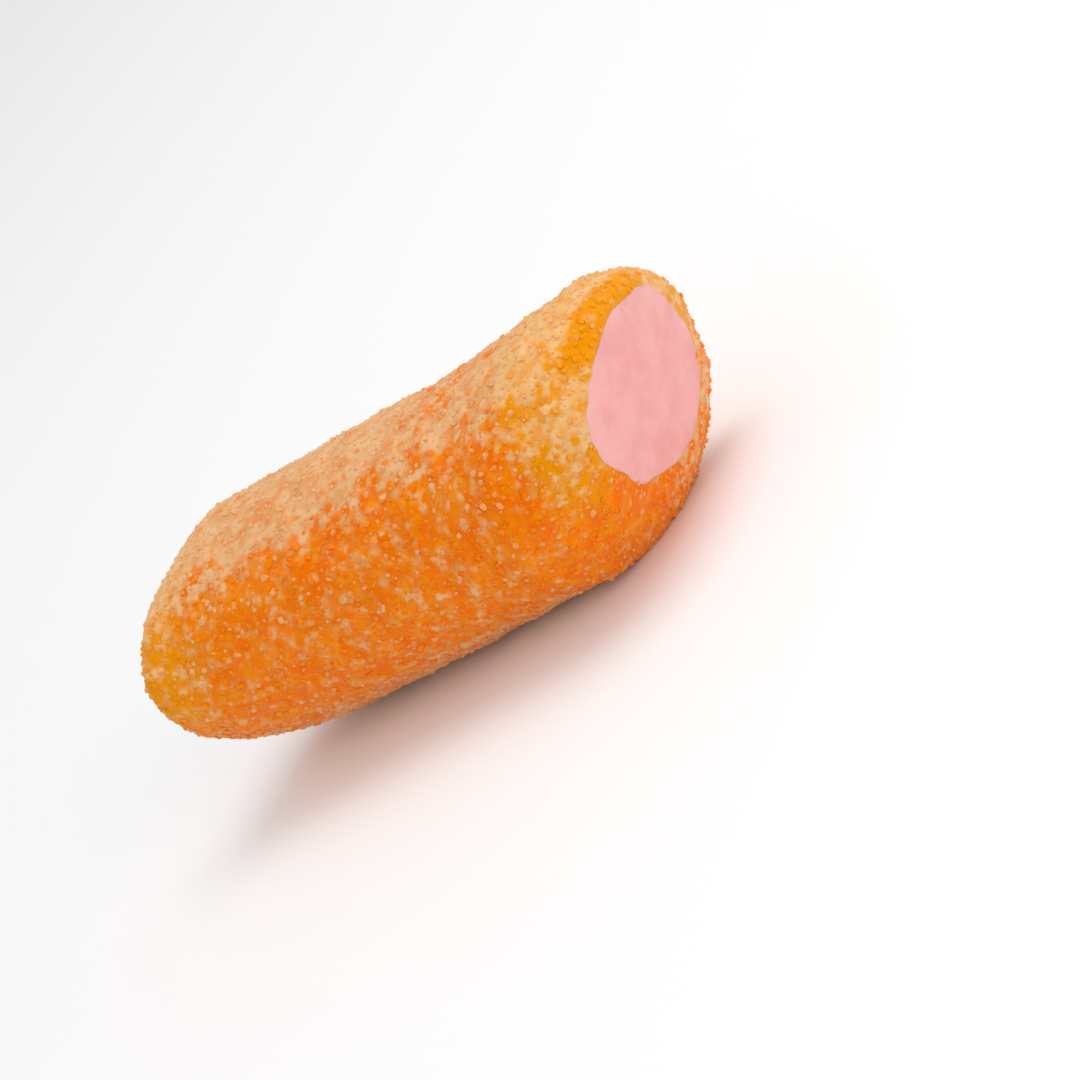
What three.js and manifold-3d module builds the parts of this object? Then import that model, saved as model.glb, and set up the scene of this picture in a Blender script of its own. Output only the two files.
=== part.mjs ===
// A sour gummy: a short length of orange gummy tube, rolled in sugar, filled with pink cream.
// Both ends are cut, so the filling shows there. The cuts are slanted, and their edges are pressed round.
// Millimetres, +Z up. The gummy lies on its side with its length along X and its best cut end at +X.
import * as THREE from 'three';
import { mergeVertices } from 'three/addons/utils/BufferGeometryUtils.js';
import Module from 'manifold-3d';

const wasm = await Module();
wasm.setup();

// Driving sizes of the gummy tube, across its own upright and its own width
const LENGTH = 32.3;
const HALF = LENGTH / 2;
const HEIGHT = 13.9;
const WIDTH = 15.2;
const ROLL = THREE.MathUtils.degToRad(24.4);

// The far cut end at -X is pinched by the blade, and its taper starts sooner underneath
const FAR_END = {
  height: 10.3,
  width: 15.9,
  topReach: 4.4,
  underReach: 6.2,
  tilt: 0.18,
  turn: -0.17,
  sag: 1.4,
  reach: 7.0,
};

// The near cut end at +X slants back underneath, and is pressed round on the side that faces -Y
const NEAR_END = {
  height: 14.2,
  width: 15.8,
  pinchReach: 6.0,
  tilt: 0.47,
  turn: -0.03,
  sag: 4.4,
  lip: 0.5,
  reach: 14.0,
};

// The tube sags a little along its length, and has a shallow waist on top where it was held
const BEND = 0.3;
const FAR_RISE = 0.4;
const NEAR_RISE = -0.55;
const WAIST = { depth: 0.3, at: 6.9, span: 4.6 };

// The pink filling, which runs right through the tube. It is a little narrower above, as its taper says,
// and the far cut pinches its height by a share.
const FILLING = {
  height: 8.9,
  width: 11.2,
  taper: 0.05,
  pinch: 0.22,
  rise: 0.65,
  forward: -0.1,
  bulge: 0.25,
};
const SEAM = 0.12;

// Low swellings of the soft surface: each one has a number of turns round it and waves along it
const SWELL = [
  { size: 0.06, turns: 2, waves: 1.5, phase: 0.6 },
  { size: 0.05, turns: 3, waves: 2.5, phase: 2.1 },
  { size: 0.04, turns: 5, waves: 4.0, phase: 4.4 },
];

// Rounded outer edge of each cut, as a length along the tube and a share of the wall
const EDGE = { length: 0.55, share: 0.3, steps: 3 };

// What is pressed flat under the gummy where it lies
const FLAT_DEPTH = 0.5;

// Facets
const SIDES = 44;
const WALL_STEPS = 20;
const FACE_STEPS = 2;
const BORE_STEPS = 9;
const FILLING_RINGS = 3;

// The largest sugar crystals, with the least distance between two and the height of their middles
const CRYSTALS = 250;
const CRYSTAL = { smallest: 0.55, largest: 0.9, apart: 1.7, lift: 0.05, seed: 20 };

const { clamp, lerp, smoothstep } = THREE.MathUtils;

// Swelling of the wall at a station and an angle, in millimetres
function swelling(x, angle) {
  return SWELL.reduce((sum, { size, turns, waves, phase }) =>
    sum + size * Math.sin(turns * angle + phase) * Math.cos((waves * Math.PI * x) / LENGTH + phase), 0);
}

// Rise of the centre line at a station: a straight slope from end to end
function slope(x) {
  return lerp(FAR_RISE, NEAR_RISE, clamp((x + HALF) / LENGTH, 0, 1));
}

// How much the far cut pinches the gummy at a station, from 0 to 1, where its skin faces up by so much
function farPinch(x, up) {
  const reach = lerp(FAR_END.underReach, FAR_END.topReach, 0.5 + 0.5 * up);
  return clamp(1 - (x + HALF) / reach, 0, 1) ** 2;
}

// The wall's outside at station x: an ellipse that the far cut pinches and the near cut presses wider.
// An angle of 0 is the side that faces -Y, and a quarter turn is the top.
function wallPoint(x, angle) {
  const up = Math.sin(angle);
  const side = Math.cos(angle);
  const far = farPinch(x, up);
  const near = smoothstep(x - HALF, -NEAR_END.pinchReach, 0);
  const height = HEIGHT + (FAR_END.height - HEIGHT) * far + (NEAR_END.height - HEIGHT) * near;
  const width = WIDTH + (FAR_END.width - WIDTH) * far + (NEAR_END.width - WIDTH) * near;
  const waist = WAIST.depth * Math.exp(-(((x - WAIST.at) / WAIST.span) ** 2)) * Math.max(up, 0);
  const bend = -BEND * Math.sin((Math.PI * (x + HALF)) / LENGTH);
  const swell = swelling(x, angle);
  return {
    up: (height / 2 + swell) * up - waist + bend + slope(x),
    side: (width / 2 + swell) * side,
  };
}

// A point of the filling's section: share runs from 0 at its middle to 1 at its skin
function fillingPoint(x, angle, share) {
  const up = Math.sin(angle);
  const height = FILLING.height * (1 - FILLING.pinch * farPinch(x, up));
  const width = FILLING.width * (1 - FILLING.taper * up);
  return {
    up: (height / 2) * share * up + FILLING.rise + slope(x),
    side: (width / 2) * share * Math.cos(angle) + FILLING.forward,
  };
}

// Turns a section point at station x into a place in the part's frame. Tilt and turn slant each cut,
// and the slant fades out over the end's reach. Depth is the share of the wall passed, from the
// filling outwards: the pressed edge falls away with its square, by the lip and the sag.
function place(x, point, angle, depth) {
  const near = smoothstep(x, HALF - NEAR_END.reach, HALF);
  const far = 1 - smoothstep(x, -HALF, -HALF + FAR_END.reach);
  const facing = 0.5 + 0.5 * Math.cos(angle);
  const upper = 0.5 + 0.5 * Math.sin(angle);
  const nearCut = NEAR_END.tilt * point.up + NEAR_END.turn * point.side
    - (NEAR_END.lip + NEAR_END.sag * facing) * depth ** 2;
  const farCut = FAR_END.tilt * point.up + FAR_END.turn * point.side + FAR_END.sag * upper * depth ** 2;
  return new THREE.Vector3(
    x + near * nearCut + far * farCut,
    -Math.cos(ROLL) * point.side + Math.sin(ROLL) * point.up,
    Math.sin(ROLL) * point.side + Math.cos(ROLL) * point.up,
  );
}

// A place in the tube's wall: depth 0 is the bore and 1 is the outside
function wallPlace(x, angle, depth) {
  const inner = fillingPoint(x, angle, 1);
  const outer = wallPoint(x, angle);
  const point = { up: lerp(inner.up, outer.up, depth), side: lerp(inner.side, outer.side, depth) };
  return place(x, point, angle, depth);
}

// A place in the filling, which is a seam's width smaller than the bore and bulges at its cut ends
function fillingPlace(x, angle, share) {
  const skin = 1 - (2 * SEAM) / FILLING.height;
  const bulge = FILLING.bulge * (1 - share ** 2) * (x / HALF) ** 5;
  return place(x + bulge, fillingPoint(x, angle, share * skin), angle, 0);
}

// Moves every vertex of a lathe by a rule that takes its height, angle and radius
function reshape(geometry, rule) {
  const position = geometry.getAttribute('position');
  for (let i = 0; i < position.count; i++) {
    const [x, y, z] = [position.getX(i), position.getY(i), position.getZ(i)];
    const moved = rule(y, Math.atan2(z, x), Math.hypot(x, z));
    position.setXYZ(i, moved.x, moved.y, moved.z);
  }
  return geometry;
}

// Evenly spaced values from a to b, both ends included
function steps(a, b, count) {
  return Array.from({ length: count + 1 }, (_, i) => lerp(a, b, i / count));
}

// A closed mesh as a solid that can be joined and cut
function solidOf(geometry) {
  geometry.deleteAttribute('normal');
  geometry.deleteAttribute('uv');
  const merged = mergeVertices(geometry, 1e-4);
  return new wasm.Manifold(new wasm.Mesh({
    numProp: 3,
    vertProperties: new Float32Array(merged.getAttribute('position').array),
    triVerts: new Uint32Array(merged.index.array),
  }));
}

// A solid's faces as a geometry for three.js
function geometryOf(solid) {
  const { vertProperties, triVerts } = solid.getMesh();
  const geometry = new THREE.BufferGeometry();
  geometry.setAttribute('position', new THREE.BufferAttribute(new Float32Array(vertProperties), 3));
  geometry.setIndex(new THREE.BufferAttribute(new Uint32Array(triVerts), 1));
  geometry.computeVertexNormals();
  return geometry;
}

// One outer edge of a cut, as a quarter ellipse from the face to the wall; end is -1 or 1
function edgeArc(end) {
  return steps(0, Math.PI / 2, EDGE.steps).map((a) => new THREE.Vector2(
    2 - EDGE.share * (1 - Math.sin(a)),
    end * (HALF - EDGE.length * (1 - Math.cos(a))),
  ));
}

// The gummy tube: a ring-shaped lathe whose radius runs from 1 at the bore to 2 at the outside
function tubeSolid() {
  const faceShares = steps(0, 1 - EDGE.share, FACE_STEPS).slice(0, -1);
  const wallStations = steps(EDGE.length - HALF, HALF - EDGE.length, WALL_STEPS).slice(1, -1);
  const profile = [
    ...faceShares.map((depth) => new THREE.Vector2(1 + depth, -HALF)),
    ...edgeArc(-1),
    ...wallStations.map((x) => new THREE.Vector2(2, x)),
    ...edgeArc(1).reverse(),
    ...faceShares.toReversed().map((depth) => new THREE.Vector2(1 + depth, HALF)),
    ...steps(HALF, -HALF, BORE_STEPS).slice(1).map((x) => new THREE.Vector2(1, x)),
  ];
  const lathe = new THREE.LatheGeometry(profile, SIDES);
  return solidOf(reshape(lathe, (x, angle, radius) => wallPlace(x, angle, radius - 1)));
}

// The filling: a solid lathe of radius 1, closed on its axis at both ends
function fillingSolid() {
  const rings = steps(0, 1, FILLING_RINGS);
  const profile = [
    ...rings.slice(0, -1).map((share) => new THREE.Vector2(share, -HALF)),
    ...steps(-HALF, HALF, BORE_STEPS).map((x) => new THREE.Vector2(1, x)),
    ...rings.toReversed().slice(1).map((share) => new THREE.Vector2(share, HALF)),
  ];
  return solidOf(reshape(new THREE.LatheGeometry(profile, SIDES), fillingPlace));
}

// A repeatable source of even numbers from 0 to 1
function randomFrom(seed) {
  let state = seed;
  return () => {
    state = (state + 0x6d2b79f5) | 0;
    let t = Math.imul(state ^ (state >>> 15), 1 | state);
    t = (t + Math.imul(t ^ (t >>> 7), 61 | t)) ^ t;
    return ((t ^ (t >>> 14)) >>> 0) / 4294967296;
  };
}

// A random site on the sugared skin. Stations past an end lie on that end's cut face, between the wall
// and the filling.
function crystalSite(random) {
  const faceRun = (WIDTH - FILLING.width) / 2;
  const along = lerp(-faceRun, LENGTH + faceRun, random());
  const over = Math.max(-along, along - LENGTH, 0) / faceRun;
  const x = clamp(along, 0, LENGTH) - HALF;
  const angle = 2 * Math.PI * random();
  const outward = wallPlace(x, angle, 1.2).sub(wallPlace(x, angle, 1)).normalize();
  return wallPlace(x, angle, 1 - 0.75 * over).addScaledVector(outward, CRYSTAL.lift);
}

// Random sites in turn, each one kept where no earlier one is near, until there are enough
function crystalSites(random) {
  const sites = [];
  for (let tries = 0; sites.length < CRYSTALS && tries < 60 * CRYSTALS; tries++) {
    const site = crystalSite(random);
    if (sites.every((other) => other.distanceTo(site) > CRYSTAL.apart)) {
      sites.push(site);
    }
  }
  return sites;
}

// Sugar crystals: blocks of uneven size, turned at random and half sunk in the wall
function crystalSolids() {
  const random = randomFrom(CRYSTAL.seed);
  return crystalSites(random).map((site) => {
    const size = lerp(CRYSTAL.smallest, CRYSTAL.largest, random() ** 2);
    const breadth = size * lerp(0.7, 0.95, random());
    const block = new THREE.BoxGeometry(size, breadth, size * lerp(0.6, 0.8, random()));
    block.rotateX(Math.PI * random()).rotateY(Math.PI * random()).rotateZ(Math.PI * random());
    block.translate(site.x, site.y, site.z);
    return solidOf(block);
  });
}

// Everything below the level is cut away, so that the gummy rests on a narrow flat
function cutBelow(solid, level) {
  const block = new THREE.BoxGeometry(2 * LENGTH, 2 * LENGTH, LENGTH);
  block.translate(0, 0, level - LENGTH / 2);
  return solid.subtract(solidOf(block));
}

const tube = tubeSolid();
const restLevel = tube.boundingBox().min[2] + FLAT_DEPTH;
const sugaredTube = cutBelow(wasm.Manifold.union([tube, ...crystalSolids()]), restLevel);
const { min, max } = sugaredTube.boundingBox();
const toOrigin = [-(min[0] + max[0]) / 2, -(min[1] + max[1]) / 2, -restLevel];

const gummyFinish = new THREE.MeshStandardMaterial({ color: 0xeb8624, roughness: 0.6, metalness: 0 });
const fillingFinish = new THREE.MeshStandardMaterial({ color: 0xf5afab, roughness: 0.55, metalness: 0 });

const gummy = new THREE.Mesh(geometryOf(sugaredTube).translate(...toOrigin), gummyFinish);
gummy.name = 'gummy_tube';
const filling = new THREE.Mesh(geometryOf(fillingSolid()).translate(...toOrigin), fillingFinish);
filling.name = 'pink_filling';

const sourGummy = new THREE.Group();
sourGummy.add(gummy, filling);

export default sourGummy;
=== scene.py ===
import math

import bpy
import numpy as np
from mathutils import Matrix, Vector
from mathutils.kdtree import KDTree


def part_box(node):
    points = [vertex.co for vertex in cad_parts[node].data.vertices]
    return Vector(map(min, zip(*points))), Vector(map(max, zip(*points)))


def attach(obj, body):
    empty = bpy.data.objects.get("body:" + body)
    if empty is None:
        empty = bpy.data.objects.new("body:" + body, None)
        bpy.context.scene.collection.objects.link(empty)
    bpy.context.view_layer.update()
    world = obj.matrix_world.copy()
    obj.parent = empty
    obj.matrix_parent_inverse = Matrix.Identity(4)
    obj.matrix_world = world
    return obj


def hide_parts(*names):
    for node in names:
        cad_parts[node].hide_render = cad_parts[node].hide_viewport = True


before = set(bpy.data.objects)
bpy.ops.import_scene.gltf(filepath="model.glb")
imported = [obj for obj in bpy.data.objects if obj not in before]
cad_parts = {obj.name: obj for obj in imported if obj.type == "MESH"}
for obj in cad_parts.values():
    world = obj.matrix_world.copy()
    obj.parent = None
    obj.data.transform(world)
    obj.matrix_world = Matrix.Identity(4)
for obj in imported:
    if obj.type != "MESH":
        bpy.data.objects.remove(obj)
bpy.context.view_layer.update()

# A sour gummy: a short length of orange gummy tube with a pink filling, rolled in sugar.
# The forms are worked out in millimetres and go into the meshes in metres.
MM = 0.001
TURN = 2 * math.pi

# Driving sizes of the tube, the same as the solid part's
LENGTH = 32.3
HALF = LENGTH / 2
HEIGHT = 13.9
WIDTH = 15.2
ROLL = math.radians(24.4)
FAR_HEIGHT, FAR_WIDTH = 10.3, 15.9
FAR_TOP_REACH, FAR_UNDER_REACH = 4.4, 6.2
FAR_TILT, FAR_TURN, FAR_SAG, FAR_REACH = 0.18, -0.17, 1.4, 7.0
NEAR_HEIGHT, NEAR_WIDTH, NEAR_PINCH_REACH = 14.2, 15.8, 6.0
NEAR_TILT, NEAR_TURN, NEAR_SAG, NEAR_LIP, NEAR_REACH = 0.47, -0.03, 4.4, 0.5, 14.0
BEND = 0.3
FAR_RISE, NEAR_RISE = 0.4, -0.55
WAIST_DEPTH, WAIST_AT, WAIST_SPAN = 0.3, 6.9, 4.6
FILLING_HEIGHT, FILLING_WIDTH, FILLING_TAPER, FILLING_PINCH = 8.9, 11.2, 0.05, 0.22
FILLING_RISE, FILLING_FORWARD, FILLING_BULGE = 0.65, -0.1, 0.25
SEAM = 0.12

# Low swellings of the wall, as size, waves round it, half waves along it and phase. Then the rounded edge
# at each cut: its length along the gummy, and its share of the way from the filling to the wall
SWELLS = ((0.06, 2, 1.5, 0.6), (0.05, 3, 2.5, 2.1), (0.04, 5, 4.0, 4.4))
EDGE_LENGTH, EDGE_SHARE = 0.55, 0.3

# The sugar crust: how deep the skin lies under it, and the relief of what is sunk in it, as height and
# size
SKIN_DEPTH = 0.08
LUMPS = (0.045, 2.6)
PEBBLES = (0.09, 0.52)
SPECKS = (0.015, 0.26)

# How the filling's edge wanders: sines round it as size, number of waves and phase, then a point below,
# a point above and a hollow beside that, as size, angle and span
RIM_WAVES = (
    (0.10, 1, 5.8),
    (0.16, 2, 1.2),
    (0.19, 3, 2.3),
    (0.10, 4, 2.5),
    (0.02, 11, 2.3),
    (0.015, 23, 1.1),
)
RIM_TIPS = ((0.50, 5.03, 0.30), (0.22, 1.92, 0.20), (-0.20, 1.45, 0.20))

# The jelly is golden towards the near cut: where along the gummy that starts and is full, how far it
# reaches from the far cut, and how far up a place faces where the gold starts and is full, on the wall
# and on the cuts. By the near cut the one goes over to the other at the depths WALL_GOLD_AT
GOLD_START, GOLD_FULL = 10.6, 13.4
FAR_GOLD_REACH = 6.5
GOLD_ON_WALL, GOLD_ON_CUTS = (0.05, 0.7), (-0.7, 0.3)
WALL_GOLD_AT = (0.7, 1.0)

# The filling's faces: the rings where the edge rolls into the tube and how far each stands out, how far
# the whole face does, and how far inside the cuts the side starts
LIP_RINGS, LIP_STANDS = (1.012, 1.022), (0.0, -0.12)
FACE_STANDS = 0.05
SIDE_INSET = 0.6

# The fine pale sugar lies thickest on top. Its shares are for the lowest and the middle part of the
# sides and for the top, then for the gold at the far and the near end, then for the front, the top and
# the back of the near cut. A share below 0 stays bare in the drifts
POWDER_BELOW, POWDER_ON_SIDES, POWDER_ON_TOP = 0.72, 0.12, 0.93
POWDER_ON_FAR_GOLD, POWDER_ON_GOLD = 0.22, 0.42
POWDER_ON_CUT, POWDER_ON_CUT_TOP, POWDER_ON_CUT_BACK = 0.70, -0.08, 0.62

# Where one share goes over to the next, by how far up a place faces: from below to the sides, where the
# top's sugar starts and is full, and on the cut its front, its top and the upper end of its back
BELOW_ENDS = (-0.95, -0.5)
POWDER_START, POWDER_FULL = 0.62, 0.97
FRONT_STARTS, CUT_TOP_STARTS, BACK_ENDS = (-0.2, 0.5), (0.65, 0.92), (0.45, 0.75)

# On the cut also: where its back starts, by how far behind a place lies, at which depths the front's
# sugar thins and by what share, and at which depths the cut goes over to the wall
BACK_STARTS = (0.6, 0.8)
CUT_THINS_AT, CUT_THINS = (0.4, 0.8), 0.5
WALL_STARTS = (0.5, 0.8)

# Places with less sugar: underneath, up to FAR_BARE from the far cut; and on top, from RUBBED_FROM to
# RUBBED_TO along the gummy, where the share RUBBED goes. The share on the last line thins the sugar on
# the sides by the near cut. The deeper orange it leaves there is painted shade and red bounce light from a
# piece beside it
FAR_BARE = 5.0
RUBBED_FROM, RUBBED_TO, RUBBED = 3.0, 8.0, 0.25
NEAR_SIDES_PAINTED_SHADE = 0.8

# Drifts in the sugar as height and length, and the share of them that moves the edge of the top's sugar
DRIFTS = ((0.03, 2.6), (0.05, 1.1))
EDGE_DRIFT = 0.3

# Loose crystals on the crust: how many are tried, their sizes, the least distance between two, the
# number of their sides, and how much their milkiness scatters
COARSE = dict(tries=2600, small=0.42, large=0.62, apart=0.90, sides=8, scatter=0.50, seed=3)
MEDIUM = dict(tries=18000, small=0.27, large=0.48, apart=0.40, sides=6, scatter=0.45, seed=5)
FINE = dict(tries=7000, small=0.15, large=0.24, apart=0.28, sides=6, scatter=0.12, seed=7)

# A crystal's shape: its least and greatest proportions, how strongly small ones prevail, how much it
# narrows to its top, how uneven its corners are and how much it leans
PROPORTIONS = ((1.0, 0.7, 0.4), (1.25, 1.0, 0.7))
SMALL_PREVAIL = 1.6
NARROWING = 0.6
UNEVEN = 0.07
LEAN = 0.3

# How far a crystal's middle stands out of bare skin and how much further it sinks in thick powder, as
# shares of its half height. Then its milkiness: what is added to the powder's share, how far the scatter
# reaches, and how milky the milkiest are on bare skin and in thick powder
STAND, SINKING = -0.25, 0.45
PALER = 0.06
SCATTER_REACH = 1.2
MILKIEST = (0.65, 0.95)

# Colours as they look on a screen, from 0 to 255: the jelly, the sugar on it, the cream and the floor
DEEP_ORANGE, ORANGE, BRIGHT_ORANGE = (239, 111, 0), (241, 126, 0), (240, 146, 6)
GOLDEN = (233, 146, 1)
TAN_SUGAR, PALE_SUGAR, SUGAR_ON_GOLD = (220, 155, 95), (230, 180, 130), (238, 188, 120)
CLEAR_CRYSTAL, CLEAR_ON_GOLD, MILKY_CRYSTAL = (240, 128, 0), (233, 147, 2), (230, 177, 125)
DEEP_PINK, PINK, PALE_PINK = (232, 159, 157), (236, 171, 166), (237, 180, 166)
PALE_FLOOR = (248, 248, 248)

# The camera, as the photograph has it: how far the gummy's length turns towards it, the slant of that
# length in the picture, the scale in the picture, and the pixel where the gummy's middle is seen
FACING = math.radians(34)
SLANT = math.radians(31)
LENS = 135.0
SENSOR = 36.0
PICTURE = 1080
PIXELS_PER_MM = 18.36
MIDDLE_PIXEL = (429.0, 521.8)

# The studio in metres and watts: the floor's half width, the surround's strength, the point that the
# lights face, and each light's place, size and power
FLOOR_HALF = 1.5
SURROUND = 0.70
LIT_POINT = (0, 0, 0.007)
LIGHT_ABOVE = dict(place=(0.10, 0.09, 0.34), size=0.22, power=0.47)
LIGHT_FRONT = dict(place=(0.30, -0.16, 0.12), size=0.25, power=0.34)


def fade(low, high, value):
    """A smooth step from 0 at low to 1 at high, level at both ends."""
    share = np.clip((value - low) / (high - low), 0, 1)
    return share * share * (3 - 2 * share)


def blend(a, b, share):
    """The value that is the given share of the way from a to b."""
    return a + (b - a) * share


def slope(station):
    """The centre line's rise: a straight slope from the far end's to the near end's."""
    return blend(FAR_RISE, NEAR_RISE, np.clip((station + HALF) / LENGTH, 0, 1))


def far_pinch(station, up):
    """How much the far cut pinches the gummy where its skin faces up by so much: the squared nearness to
    that cut, from 0 to 1, with a reach that is longer underneath."""
    reach = blend(FAR_UNDER_REACH, FAR_TOP_REACH, 0.5 + 0.5 * up)
    return np.clip(1 - (station + HALF) / reach, 0, 1) ** 2


def wall_point(station, angle):
    """The tube's outside: an ellipse, pinched at the far cut and pressed wider at the near one, with a
    waist on top, a bend along it and low swellings. Gives up and side."""
    up, side = np.sin(angle), np.cos(angle)
    far = far_pinch(station, up)
    near = fade(-NEAR_PINCH_REACH, 0, station - HALF)
    height = HEIGHT + (FAR_HEIGHT - HEIGHT) * far + (NEAR_HEIGHT - HEIGHT) * near
    width = WIDTH + (FAR_WIDTH - WIDTH) * far + (NEAR_WIDTH - WIDTH) * near
    waist = WAIST_DEPTH * np.exp(-(((station - WAIST_AT) / WAIST_SPAN) ** 2)) * np.maximum(up, 0)
    bend = -BEND * np.sin(math.pi * (station + HALF) / LENGTH)
    swell = sum(
        size * np.sin(turns * angle + phase) * np.cos(bows * math.pi * station / LENGTH + phase)
        for size, turns, bows, phase in SWELLS
    )
    return (height / 2 + swell) * up - waist + bend + slope(station), (width / 2 + swell) * side


def filling_point(station, angle, share):
    """The filling's section: an ellipse, a little narrower above and pinched at the far cut. Its share
    runs from 0 in the middle to 1 at its skin."""
    up, side = np.sin(angle), np.cos(angle)
    height = FILLING_HEIGHT * (1 - FILLING_PINCH * far_pinch(station, up))
    width = FILLING_WIDTH * (1 - FILLING_TAPER * up)
    height_up = height / 2 * share * up + FILLING_RISE + slope(station)
    return height_up, width / 2 * share * side + FILLING_FORWARD


def placed(station, up, side, angle, depth):
    """A section point in the part's own directions, before the shift to the frame's origin. Each cut
    leans by its tilt and turn, fading along the tube, and its edge falls back with the depth squared."""
    near = fade(HALF - NEAR_REACH, HALF, station)
    far = 1 - fade(-HALF, FAR_REACH - HALF, station)
    facing, upper = 0.5 + 0.5 * np.cos(angle), 0.5 + 0.5 * np.sin(angle)
    near_cut = NEAR_TILT * up + NEAR_TURN * side - (NEAR_LIP + NEAR_SAG * facing) * depth**2
    far_cut = FAR_TILT * up + FAR_TURN * side + FAR_SAG * upper * depth**2
    x = station + near * near_cut + far * far_cut
    y = -math.cos(ROLL) * side + math.sin(ROLL) * up
    z = math.sin(ROLL) * side + math.cos(ROLL) * up
    return np.stack(np.broadcast_arrays(x, y, z), axis=-1)


def rim_wave(angle):
    """How far the filling's skin wanders in and out: a sum of sines round it, and bell-shaped points and
    a hollow."""
    tips = sum(size * np.exp(-(((angle - at) / span) ** 2)) for size, at, span in RIM_TIPS)
    return tips + sum(size * np.sin(turns * angle + phase) for size, turns, phase in RIM_WAVES)


def wandering_share(angle):
    """The share of the filling's section where it really meets the tube."""
    return 1 + rim_wave(angle) / (FILLING_HEIGHT / 2)


def middle_of_frame():
    """Where the gummy's own middle lies in the frame: the middle of the solid filling's box less the
    middle of the box that the formulas give for it."""
    station, angle = np.meshgrid([-HALF, 0, HALF], np.linspace(0, TURN, 720), indexing="ij")
    up, side = filling_point(station, angle, 1 - 2 * SEAM / FILLING_HEIGHT)
    points = placed(station, up, side, angle, 0).reshape(-1, 3)
    low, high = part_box("pink_filling")
    return (np.array(low) + np.array(high)) / 2 / MM - (points.min(0) + points.max(0)) / 2


def waves(points, length, seed, count=40):
    """Smooth noise of about unit size: the mean of many cosine waves of one length, each in its own
    random direction."""
    rng = np.random.default_rng(seed)
    directions = rng.normal(size=(count, 3))
    directions *= TURN / length / np.linalg.norm(directions, axis=1, keepdims=True)
    phases = rng.uniform(0, TURN, count)
    return np.cos(points @ directions.T + phases).sum(-1) * math.sqrt(2 / count)


def pebbles(points, size, seed, reach=0.75):
    """Round-topped pebbles packed in space, one in each cell of a jittered cubic lattice. Gives the
    height, 1 less the squared distance to the nearest pebble's middle over its reach, and that pebble's
    own number from 0 to 1."""
    table = np.random.default_rng(seed).random((4096, 4))
    home = np.floor(points / size).astype(np.int64)
    height = np.full(points.shape[:-1], -1.0)
    number = np.zeros(points.shape[:-1])
    for step in np.ndindex(3, 3, 3):
        cell = home + np.array(step) - 1
        row = table[(cell @ np.array([73, 179, 283])) % 4096]
        distance = np.linalg.norm(points / size - cell - row[..., :3], axis=-1)
        found = 1 - (distance / reach) ** 2
        number = np.where(found > height, row[..., 3], number)
        height = np.maximum(found, height)
    return np.clip(height, 0, 1), number


def gold_share(along, station, depth, facing_up):
    """How golden the jelly is, from 0 to 1: towards the near cut and close to the far one, times a
    smooth step on how far up the place faces, which is higher up on the wall by the near cut."""
    lower, upper = fade(*GOLD_ON_CUTS, facing_up), fade(*GOLD_ON_WALL, facing_up)
    near = fade(GOLD_START, GOLD_FULL, along) * blend(lower, upper, fade(*WALL_GOLD_AT, depth))
    far = (1 - fade(0.0, FAR_GOLD_REACH, station + HALF)) * lower
    return np.maximum(near, far)


def powder_share(points, station, depth, angle, gold):
    """How thickly the fine pale sugar lies, from 0 to 1, plus drifts of two lengths. On the wall it is a
    smooth step up the sides, then one to the gold's share and one to the top's. On the cuts it fades
    out downwards on the front, goes over to shares of its own near the top and on the back, and meets
    the wall's near the edge."""
    facing_up, behind = np.sin(angle + ROLL), 0.5 - 0.5 * np.cos(angle)
    drift = sum(size * waves(points, length, 31 + index) for index, (size, length) in enumerate(DRIFTS))
    top = fade(POWDER_START, POWDER_FULL, facing_up + EDGE_DRIFT * drift)
    top = top * (1 - RUBBED * fade(RUBBED_FROM, RUBBED_TO, station))
    below = POWDER_BELOW * fade(0.0, FAR_BARE, station + HALF)
    sides = blend(below, POWDER_ON_SIDES, fade(*BELOW_ENDS, facing_up))
    # Painted shade: by the near cut the sides' sugar is thinned. The deeper orange left there stands for
    # shade and red bounce light from a piece beside it
    sides = sides * (1 - NEAR_SIDES_PAINTED_SHADE * fade(GOLD_START, HALF, station) * (1 - gold))
    on_gold = blend(POWDER_ON_FAR_GOLD, POWDER_ON_GOLD, fade(0, HALF, station))
    wall = blend(blend(sides, on_gold, gold), POWDER_ON_TOP, top)
    cut = POWDER_ON_CUT * fade(*FRONT_STARTS, facing_up) * (1 - CUT_THINS * fade(*CUT_THINS_AT, depth))
    cut = blend(cut, POWDER_ON_CUT_TOP, fade(*CUT_TOP_STARTS, facing_up))
    back = fade(*BACK_STARTS, behind) * (1 - fade(*BACK_ENDS, facing_up))
    cut = blend(cut, POWDER_ON_CUT_BACK, back)
    return blend(cut, wall, fade(*WALL_STARTS, depth)) + drift


def outward(points):
    """Unit normals of a closed grid of points, from the differences of its neighbours."""
    along = np.roll(points, -1, axis=0) - np.roll(points, 1, axis=0)
    around = np.roll(points, -1, axis=1) - np.roll(points, 1, axis=1)
    normal = np.cross(along, around)
    return normal / np.maximum(np.linalg.norm(normal, axis=-1, keepdims=True), 1e-9)


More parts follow.
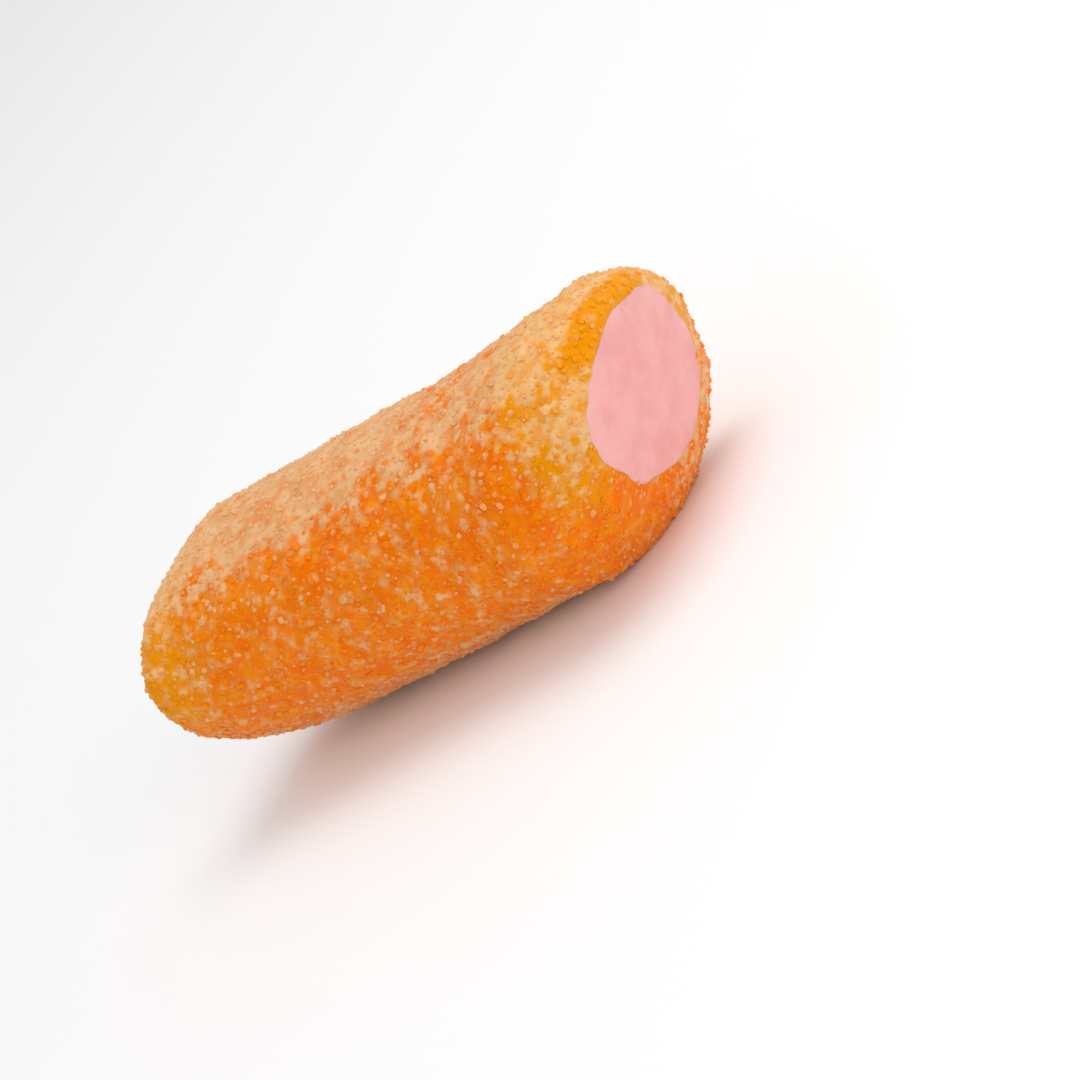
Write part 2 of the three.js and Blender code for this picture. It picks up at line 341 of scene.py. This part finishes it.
def mesh_piece(name, points, faces, attributes=None, smooth=True):
    """A mesh object from points in millimetres and a list of arrays of faces, each of one size."""
    mesh = bpy.data.meshes.new(name)
    mesh.vertices.add(len(points))
    mesh.vertices.foreach_set("co", (points * MM).astype(np.float32).ravel())
    corners = np.concatenate([group.ravel() for group in faces])
    sizes = np.concatenate([np.full(len(group), group.shape[1]) for group in faces])
    mesh.loops.add(len(corners))
    mesh.loops.foreach_set("vertex_index", corners.astype(np.int32))
    mesh.polygons.add(len(sizes))
    mesh.polygons.foreach_set("loop_start", (np.cumsum(sizes) - sizes).astype(np.int32))
    mesh.polygons.foreach_set("use_smooth", np.full(len(sizes), smooth))
    for key, values in (attributes or {}).items():
        attribute = mesh.attributes.new(key, "FLOAT", "POINT")
        attribute.data.foreach_set("value", values.astype(np.float32).ravel())
    mesh.update(calc_edges=True)
    mesh.validate()
    piece = bpy.data.objects.new(name, mesh)
    bpy.context.scene.collection.objects.link(piece)
    return piece


def grid_faces(rows, columns, closed):
    """Quads of a grid of points that closes on itself round its columns, and round its rows if closed."""
    row, column = np.meshgrid(np.arange(rows if closed else rows - 1), np.arange(columns), indexing="ij")
    right, below = (column + 1) % columns, (row + 1) % rows
    upper, lower = row * columns, below * columns
    corners = (upper + column, lower + column, lower + right, upper + right)
    return np.stack([corner.ravel() for corner in corners], axis=1)


def skin_profile(wall_rows=214, face_rows=22, edge_rows=20, bore_rows=7):
    """The tube's profile, once round: out over the far cut, along the wall, in over the near cut and
    back through the bore. Gives each row's station and depth."""
    face = np.linspace(0, 1 - EDGE_SHARE, face_rows, endpoint=False)
    arc = np.linspace(0, math.pi / 2, edge_rows, endpoint=False)
    arc_station = HALF - EDGE_LENGTH * (1 - np.cos(arc))
    arc_depth = 1 - EDGE_SHARE * (1 - np.sin(arc))
    wall = np.linspace(EDGE_LENGTH - HALF, HALF - EDGE_LENGTH, wall_rows)
    bore = np.linspace(HALF, -HALF, bore_rows)[:-1]
    far_cut, near_cut = np.full(face_rows, -HALF), np.full(face_rows - 1, HALF)
    station = np.concatenate([far_cut, -arc_station, wall, arc_station[::-1], near_cut, bore])
    wall_depth, bore_depth = np.ones(wall_rows), np.zeros(len(bore))
    depth = np.concatenate([face, arc_depth, wall_depth, arc_depth[::-1], face[:0:-1], bore_depth])
    return station, depth


def gummy_skin(middle, columns=300):
    """The tube's skin as a closed grid: the section blends from the filling's skin to the wall, then
    lumps, pebbles and specks of sugar lift it along its normal. Gives the piece, and on the grid the
    points, the normals, and the shares of crust, gold and powder by name."""
    station, depth = (column[:, None] for column in skin_profile())
    angle = np.linspace(0, TURN, columns, endpoint=False)[None, :]
    inner_up, inner_side = filling_point(station, angle, wandering_share(angle))
    outer_up, outer_side = wall_point(station, angle)
    up, side = blend(inner_up, outer_up, depth), blend(inner_side, outer_side, depth)
    smooth_skin = placed(station, up, side, angle, depth) + middle
    normal = outward(smooth_skin)
    crust = np.broadcast_to(fade(0.0, 0.2, depth), smooth_skin.shape[:2])
    pebble, number = pebbles(smooth_skin, PEBBLES[1], 11)
    speck, _ = pebbles(smooth_skin, SPECKS[1], 12)
    lift = LUMPS[0] * waves(smooth_skin, LUMPS[1], 13) + PEBBLES[0] * pebble + SPECKS[0] * speck - SKIN_DEPTH
    points = smooth_skin + normal * (lift * crust)[..., None]
    points[..., 2] = np.maximum(points[..., 2], 0)
    gold = gold_share(smooth_skin[..., 0] - middle[0], station, depth, np.sin(angle + ROLL))
    powder = powder_share(smooth_skin, station, depth, angle, gold)
    shares = {"crust": crust, "gold": gold, "powder": powder}
    faces = [grid_faces(*crust.shape, closed=True)]
    attributes = {**shares, "grain": number, "grain_height": pebble}
    piece = mesh_piece("gummy_skin", points.reshape(-1, 3), faces, attributes)
    return piece, points, normal, shares


def filling_body(middle, rings=34, side_rows=9, columns=256):
    """The filling: rings out over the far face, along the side and in over the near face, closed by a
    fan at each end. Each face stands a little proud, and its edge rolls down into the tube."""
    share = np.linspace(0, 1, rings + 1)[1:]
    lip = np.array(LIP_RINGS)
    face_share = np.concatenate([share, lip])
    proud = np.concatenate([FILLING_BULGE * (1 - share**2) + FACE_STANDS, LIP_STANDS])
    side_station = np.linspace(-HALF + SIDE_INSET, HALF - SIDE_INSET, side_rows)
    station = np.concatenate([np.full(rings + 2, -HALF), side_station, np.full(rings + 2, HALF)])
    proud = np.concatenate([-proud, np.zeros(side_rows), proud[::-1]])[:, None]
    share = np.concatenate([face_share, np.full(side_rows, lip[-1]), face_share[::-1]])[:, None]
    angle = np.linspace(0, TURN, columns, endpoint=False)[None, :]
    station = station[:, None]
    up, side = filling_point(station, angle, share * blend(1, wandering_share(angle), share**4))
    points = placed(station + proud, up, side, angle, 0) + middle
    on_face = (np.abs(station) == HALF) * np.sign(station)
    drag = waves(points * np.array([0.0, 1.0, 6.0]), 2.4, 22)
    relief = 0.016 * waves(points, 1.1, 21) + 0.010 * waves(points, 0.4, 23) + 0.006 * drag
    points[..., 0] += on_face * relief
    poles = np.array([points[0].mean(0), points[-1].mean(0)])
    rows = points.shape[0]
    count = rows * columns
    ring = np.arange(columns)
    after = (ring + 1) % columns
    last = (rows - 1) * columns
    far_fan = np.stack([np.full(columns, count), ring, after], axis=1)
    near_fan = np.stack([np.full(columns, count + 1), last + after, last + ring], axis=1)
    faces = [grid_faces(rows, columns, closed=False), far_fan, near_fan]
    return mesh_piece("filling", np.concatenate([points.reshape(-1, 3), poles]), faces)


def crystal_sites(points, weight, tries, apart, seed):
    """Places for crystals on a grid of points: quads drawn by their area and weight, a random spot in
    each, kept where no earlier one is nearer than the given distance. Gives places and their quads."""
    rng = np.random.default_rng(seed)
    along = np.roll(points, -1, axis=0) - points
    around = np.roll(points, -1, axis=1) - points
    area = np.linalg.norm(np.cross(along, around), axis=-1) * weight
    chosen = rng.choice(area.size, tries, p=area.ravel() / area.sum())
    spot = rng.random((tries, 2, 1))
    start, down, across = (part.reshape(-1, 3)[chosen] for part in (points, along, around))
    places = start + down * spot[:, 0] + across * spot[:, 1]
    tree = KDTree(tries)
    for index, place in enumerate(places):
        tree.insert(place, index)
    tree.balance()
    kept = np.ones(tries, bool)
    for index, place in enumerate(places):
        if kept[index]:
            near = [found for _, found, _ in tree.find_range(place, apart) if found > index]
            kept[near] = False
    return places[kept], chosen[kept]


def block_shape(sides):
    """A crystal's block: a prism that stands from -1 to 1 and narrows from radius 1 at its foot to its
    top. Gives its corners and its faces, as an array of quads round it and one of its two ends."""
    ring = np.arange(sides)
    after = (ring + 1) % sides
    turn = TURN * (ring + 0.5) / sides
    foot = np.stack([np.cos(turn), np.sin(turn), np.full(sides, -1.0)], axis=1)
    corners = np.concatenate([foot, foot * (NARROWING, NARROWING, -1)])
    quads = np.stack([ring, after, after + sides, ring + sides], axis=1)
    return corners, [quads, np.stack([ring[::-1], ring + sides])]


def turns_about(axis, angle):
    """Rotation matrices, one for each angle, about the X, Y or Z axis by its number 0, 1 or 2."""
    matrix = np.tile(np.eye(3), (len(angle), 1, 1))
    first, second = (axis + 1) % 3, (axis + 2) % 3
    matrix[:, first, first] = matrix[:, second, second] = np.cos(angle)
    matrix[:, second, first] = np.sin(angle)
    matrix[:, first, second] = -np.sin(angle)
    return matrix


def crystals(name, points, normal, shares, tries, small, large, apart, sides, scatter, seed):
    """Sugar crystals as one mesh of uneven blocks. Each lies tilted in the crust, sunk deeper where the
    powder is thick, and any that would reach below the floor is left off. Its tone, from clear to milky,
    is a smooth step on the powder there plus a random scatter, times a share that grows with the
    powder."""
    places, quads = crystal_sites(points, shares["crust"], tries, apart, seed)
    upright = normal.reshape(-1, 3)[quads]
    powder, gold = shares["powder"].ravel()[quads], shares["gold"].ravel()[quads]
    rng = np.random.default_rng(seed + 100)
    count = len(places)
    proportions = rng.uniform(*PROPORTIONS, (count, 3))
    sizes = blend(small, large, rng.random((count, 1)) ** SMALL_PREVAIL) / 2 * proportions
    helper = np.where(np.abs(upright[:, :1]) < 0.8, [[1.0, 0.0, 0.0]], [[0.0, 1.0, 0.0]])
    first = np.cross(helper, upright)
    first /= np.linalg.norm(first, axis=1, keepdims=True)
    stand = np.stack([first, np.cross(upright, first), upright], axis=2)
    spin = turns_about(2, rng.uniform(0, TURN, count))
    lean = turns_about(0, rng.normal(0, LEAN, count)) @ turns_about(1, rng.normal(0, LEAN, count))
    turned = stand @ spin @ lean
    corners, faces = block_shape(sides)
    uneven = corners + rng.normal(0, UNEVEN, (count, *corners.shape))
    shapes = np.einsum("nij,nkj->nki", turned, uneven * sizes[:, None, :])
    shapes += (places + upright * sizes[:, 2:] * (STAND - SINKING * powder[:, None]))[:, None, :]
    clear = shapes[..., 2].min(1) > 0.01
    tone = fade(0, 1, powder + PALER + (SCATTER_REACH - powder) * rng.normal(0, scatter, count))
    tone = tone * blend(*MILKIEST, np.clip(powder, 0, 1))
    shapes, tone, gold = shapes[clear], tone[clear], gold[clear]
    start = (np.arange(len(shapes)) * len(corners))[:, None, None]
    groups = [(group + start).reshape(-1, group.shape[1]) for group in faces]
    attributes = {"tone": np.repeat(tone, len(corners)), "gold": np.repeat(gold, len(corners))}
    return mesh_piece(name, shapes.reshape(-1, 3), groups, attributes, smooth=False)


class Shade:
    """A socket of a material's nodes, so that shader sums read as Python expressions."""

    def __init__(self, finish, socket):
        self.finish = finish
        self.socket = socket

    def math(self, operation, *values):
        """A Math node on the given values or sockets."""
        node = self.finish.tree.nodes.new("ShaderNodeMath")
        node.operation = operation
        for index, value in enumerate(values):
            self.finish.feed(node.inputs[index], value)
        return Shade(self.finish, node.outputs[0])

    def __add__(self, other):
        return self.math("ADD", self, other)

    __radd__ = __add__

    def __mul__(self, other):
        return self.math("MULTIPLY", self, other)

    __rmul__ = __mul__

    def __sub__(self, other):
        return self.math("SUBTRACT", self, other)

    def __rsub__(self, other):
        return self.math("SUBTRACT", other, self)

    def step(self, low, high):
        """A smooth step from 0 at low to 1 at high."""
        smooth = {"interpolation_type": "SMOOTHSTEP"}
        return self.finish.node("ShaderNodeMapRange", smooth, Value=self, From_Min=low, From_Max=high)


class Finish:
    """A new material: its nodes and its surface shader, with the sockets that are the same all over."""

    def __init__(self, name, **surface):
        self.material = bpy.data.materials.new(name)
        self.material.use_nodes = True
        self.tree = self.material.node_tree
        self.surface = self.tree.nodes["Principled BSDF"]
        self.set(**surface)

    def feed(self, socket, value):
        """Links a shade to a socket, or sets the socket's value."""
        if isinstance(value, Shade):
            self.tree.links.new(value.socket, socket)
        elif isinstance(value, tuple) and len(value) == 3 and socket.type == "RGBA":
            socket.default_value = (*value, 1.0)
        else:
            socket.default_value = value

    def set(self, **surface):
        """Sets or links sockets of the surface shader, an underscore standing for a space."""
        for key, value in surface.items():
            self.feed(self.surface.inputs[key.replace("_", " ")], value)

    def node(self, kind, settings=None, output=0, **sockets):
        """Any other node: its settings first, then its sockets by name, an underscore for a space."""
        node = self.tree.nodes.new(kind)
        for key, value in (settings or {}).items():
            setattr(node, key, value)
        for key, value in sockets.items():
            self.feed(node.inputs[key.replace("_", " ")], value)
        return Shade(self, node.outputs[output])

    def mixed(self, share, a, b):
        """A colour that runs from a to b by a share."""
        node = self.tree.nodes.new("ShaderNodeMix")
        node.data_type = "RGBA"
        for index, value in ((0, share), (6, a), (7, b)):
            self.feed(node.inputs[index], value)
        return Shade(self, node.outputs[2])

    def place(self):
        """The place on the piece in millimetres."""
        here = self.node("ShaderNodeTexCoord", output="Object")
        return self.node("ShaderNodeVectorMath", {"operation": "SCALE"}, Vector=here, Scale=1 / MM)

    def noise(self, place, length, detail=2.0):
        """Noise from 0 to 1 whose lumps are about the given number of millimetres across."""
        return self.node("ShaderNodeTexNoise", Vector=place, Scale=1 / length, Detail=detail)

    def attribute(self, name):
        """A number stored on the piece's points."""
        return self.node("ShaderNodeAttribute", {"attribute_name": name}, output="Fac")


def srgb(red, green, blue):
    """The shader's linear colour of a screen colour given from 0 to 255."""
    parts = np.array([red, green, blue]) / 255
    linear = np.where(parts > 0.04045, ((parts + 0.055) / 1.055) ** 2.4, parts / 12.92)
    return tuple(float(part) for part in linear)


def gummy_finish():
    """Orange jelly under a crust of fine sugar: deeper and lighter patches and a mottle, a golden tint at
    the cuts, and pale sugar of two shades, yellower on the gold. Where the sugar is neither thin nor
    thick it lies grain by grain, and in clumps."""
    finish = Finish(
        "sugared_gummy",
        IOR=1.46,
        Subsurface_Weight=0.3,
        Subsurface_Radius=(1.0, 0.36, 0.10),
        Subsurface_Scale=0.0012,
        Specular_IOR_Level=0.3,
        Specular_Tint=(*srgb(255, 150, 50), 1.0),
        Sheen_Weight=0.15,
        Sheen_Roughness=0.4,
        Sheen_Tint=(*srgb(255, 226, 196), 1.0),
    )
    place = finish.place()
    grain, height = finish.attribute("grain"), finish.attribute("grain_height")
    patches = (finish.noise(place, 2.4) + 0.15 * (grain - 0.5)).step(0.35, 0.65)
    mottle = (finish.noise(place, 0.9) + 0.6 * (grain - 0.5) * height).step(0.3, 0.75)
    body = finish.mixed(patches, srgb(*DEEP_ORANGE), srgb(*ORANGE))
    body = finish.mixed(mottle * 0.7, body, srgb(*BRIGHT_ORANGE))
    gold = finish.attribute("gold")
    golden = (gold + 0.9 * (finish.noise(place, 0.9) - 0.5)).step(0.1, 0.9)
    body = finish.mixed(golden, body, srgb(*GOLDEN))
    powder = finish.attribute("powder")
    # The pale sugar's share: the powder, more or less of it grain by grain, and clumps of two sizes
    grains = (11.0 - 3.0 * gold) * (grain - 0.45) * height * powder * (1 - powder)
    clumps = 1.5 * (finish.noise(place, 0.75) - 0.5) + (1.2 * gold + 0.4) * (finish.noise(place, 1.3) - 0.5)
    dust = (powder + grains + clumps).step(0.0, 1.0)
    shade = (0.7 * grain + 0.15 + 3.0 * (finish.noise(place, 1.2) - 0.5)).step(0.0, 1.0)
    pale = finish.mixed(shade, srgb(*TAN_SUGAR), srgb(*PALE_SUGAR))
    pale = finish.mixed(0.6 * gold, pale, srgb(*SUGAR_ON_GOLD))
    body = finish.mixed(dust, body, pale)
    fine = finish.noise(place, 0.12, 3.0)
    bump = finish.node("ShaderNodeBump", Strength=0.4, Distance=0.00006, Height=fine)
    finish.set(Base_Color=body, Roughness=0.42 + 0.25 * fine, Normal=bump)
    return finish.material


def filling_finish():
    """Opaque pink cream: almost even, with faint paler and deeper clouds and a fine matte grain."""
    finish = Finish(
        "filling",
        IOR=1.45,
        Subsurface_Weight=0.3,
        Subsurface_Radius=(1.0, 0.45, 0.35),
        Subsurface_Scale=0.0008,
    )
    place = finish.place()
    clouds = finish.noise(place, 2.2).step(0.35, 0.65)
    flecks = finish.noise(place, 0.8).step(0.45, 0.75)
    body = finish.mixed(clouds, srgb(*DEEP_PINK), srgb(*PINK))
    body = finish.mixed(flecks * 0.35, body, srgb(*PALE_PINK))
    fine = finish.noise(place, 0.1, 3.0)
    bump = finish.node("ShaderNodeBump", Strength=0.25, Distance=0.00004, Height=fine)
    finish.set(Base_Color=body, Roughness=0.5 + 0.15 * fine, Normal=bump)
    return finish.material


def crystal_finish():
    """Clear to milky sugar: most crystals take the jelly's orange, and a few are pale."""
    finish = Finish(
        "sugar_crystal",
        IOR=1.5,
        Specular_IOR_Level=0.35,
        Specular_Tint=(*srgb(255, 196, 120), 1.0),
        Subsurface_Weight=0.4,
        Subsurface_Radius=(1.0, 0.7, 0.4),
        Subsurface_Scale=0.0001,
    )
    tone = finish.attribute("tone")
    clear = finish.mixed(finish.attribute("gold"), srgb(*CLEAR_CRYSTAL), srgb(*CLEAR_ON_GOLD))
    body = finish.mixed(tone, clear, srgb(*MILKY_CRYSTAL))
    fine = finish.noise(finish.place(), 0.08)
    bump = finish.node("ShaderNodeBump", Strength=0.3, Distance=0.00003, Height=fine)
    finish.set(Base_Color=body, Roughness=0.16 + 0.3 * fine, Normal=bump)
    return finish.material


def floor_finish():
    """A plain pale studio floor."""
    finish = Finish("studio_floor", Roughness=0.7, Base_Color=srgb(*PALE_FLOOR))
    return finish.material


def put_on(piece, material):
    """Gives a piece its material and its slot, and lets it ride with the object."""
    piece.data.materials.append(material)
    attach(piece, "root")


def photo_camera(middle):
    """The camera of the photograph. The gummy's length leans towards it by FACING and lies at SLANT in
    the picture, and the camera aims beside the gummy, so that it is seen where the photograph has it."""
    up = Vector((0, math.sin(ROLL), math.cos(ROLL)))
    side = Vector((0, -math.cos(ROLL), math.sin(ROLL)))
    along = Vector((1, 0, 0))
    back = math.sin(FACING) * along + math.cos(FACING) * side
    across = math.cos(FACING) * along - math.sin(FACING) * side
    right = math.cos(SLANT) * across - math.sin(SLANT) * up
    above = math.sin(SLANT) * across + math.cos(SLANT) * up
    offset = [(PICTURE / 2 - pixel) / PIXELS_PER_MM for pixel in MIDDLE_PIXEL]
    aim = Vector(middle) + offset[0] * right - offset[1] * above
    distance = LENS / SENSOR * PICTURE / PIXELS_PER_MM
    data = bpy.data.cameras.new("camera")
    data.lens, data.sensor_width = LENS, SENSOR
    data.clip_start, data.clip_end = 0.01, 10
    camera = bpy.data.objects.new("camera", data)
    turned = Matrix((right, above, back)).transposed().to_4x4()
    camera.matrix_world = Matrix.Translation((aim + distance * back) * MM) @ turned
    bpy.context.scene.collection.objects.link(camera)
    bpy.context.scene.camera = camera


def area_light(name, place, size, power):
    """A square soft white light at a place, facing the lit point."""
    data = bpy.data.lights.new(name, "AREA")
    data.size, data.energy = size, power
    light = bpy.data.objects.new(name, data)
    light.location = place
    light.rotation_mode = "QUATERNION"
    light.rotation_quaternion = (Vector(LIT_POINT) - Vector(place)).to_track_quat("-Z", "Y")
    bpy.context.scene.collection.objects.link(light)


def studio():
    """A pale floor, an even white surround and two soft lights: one above, one from the cut end."""
    half = FLOOR_HALF
    corners = np.array([(-half, -half, 0), (half, -half, 0), (half, half, 0), (-half, half, 0)]) / MM
    floor = mesh_piece("floor", corners, [np.array([[0, 1, 2, 3]])], smooth=False)
    floor.data.materials.append(floor_finish())
    world = bpy.data.worlds.new("surround")
    world.use_nodes = True
    world.node_tree.nodes["Background"].inputs["Color"].default_value = (1, 1, 1, 1)
    world.node_tree.nodes["Background"].inputs["Strength"].default_value = SURROUND
    bpy.context.scene.world = world
    area_light("light_above", **LIGHT_ABOVE)
    area_light("light_front", **LIGHT_FRONT)
    bpy.context.scene.view_settings.view_transform = "Standard"


middle = middle_of_frame()
skin, *grids = gummy_skin(middle)
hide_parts("gummy_tube")
put_on(skin, gummy_finish())
filling = filling_body(middle)
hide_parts("pink_filling")
put_on(filling, filling_finish())
sugar = crystal_finish()
for name, kind in (("sugar_coarse", COARSE), ("sugar_medium", MEDIUM), ("sugar_fine", FINE)):
    put_on(crystals(name, *grids, **kind), sugar)
photo_camera(middle)
studio()
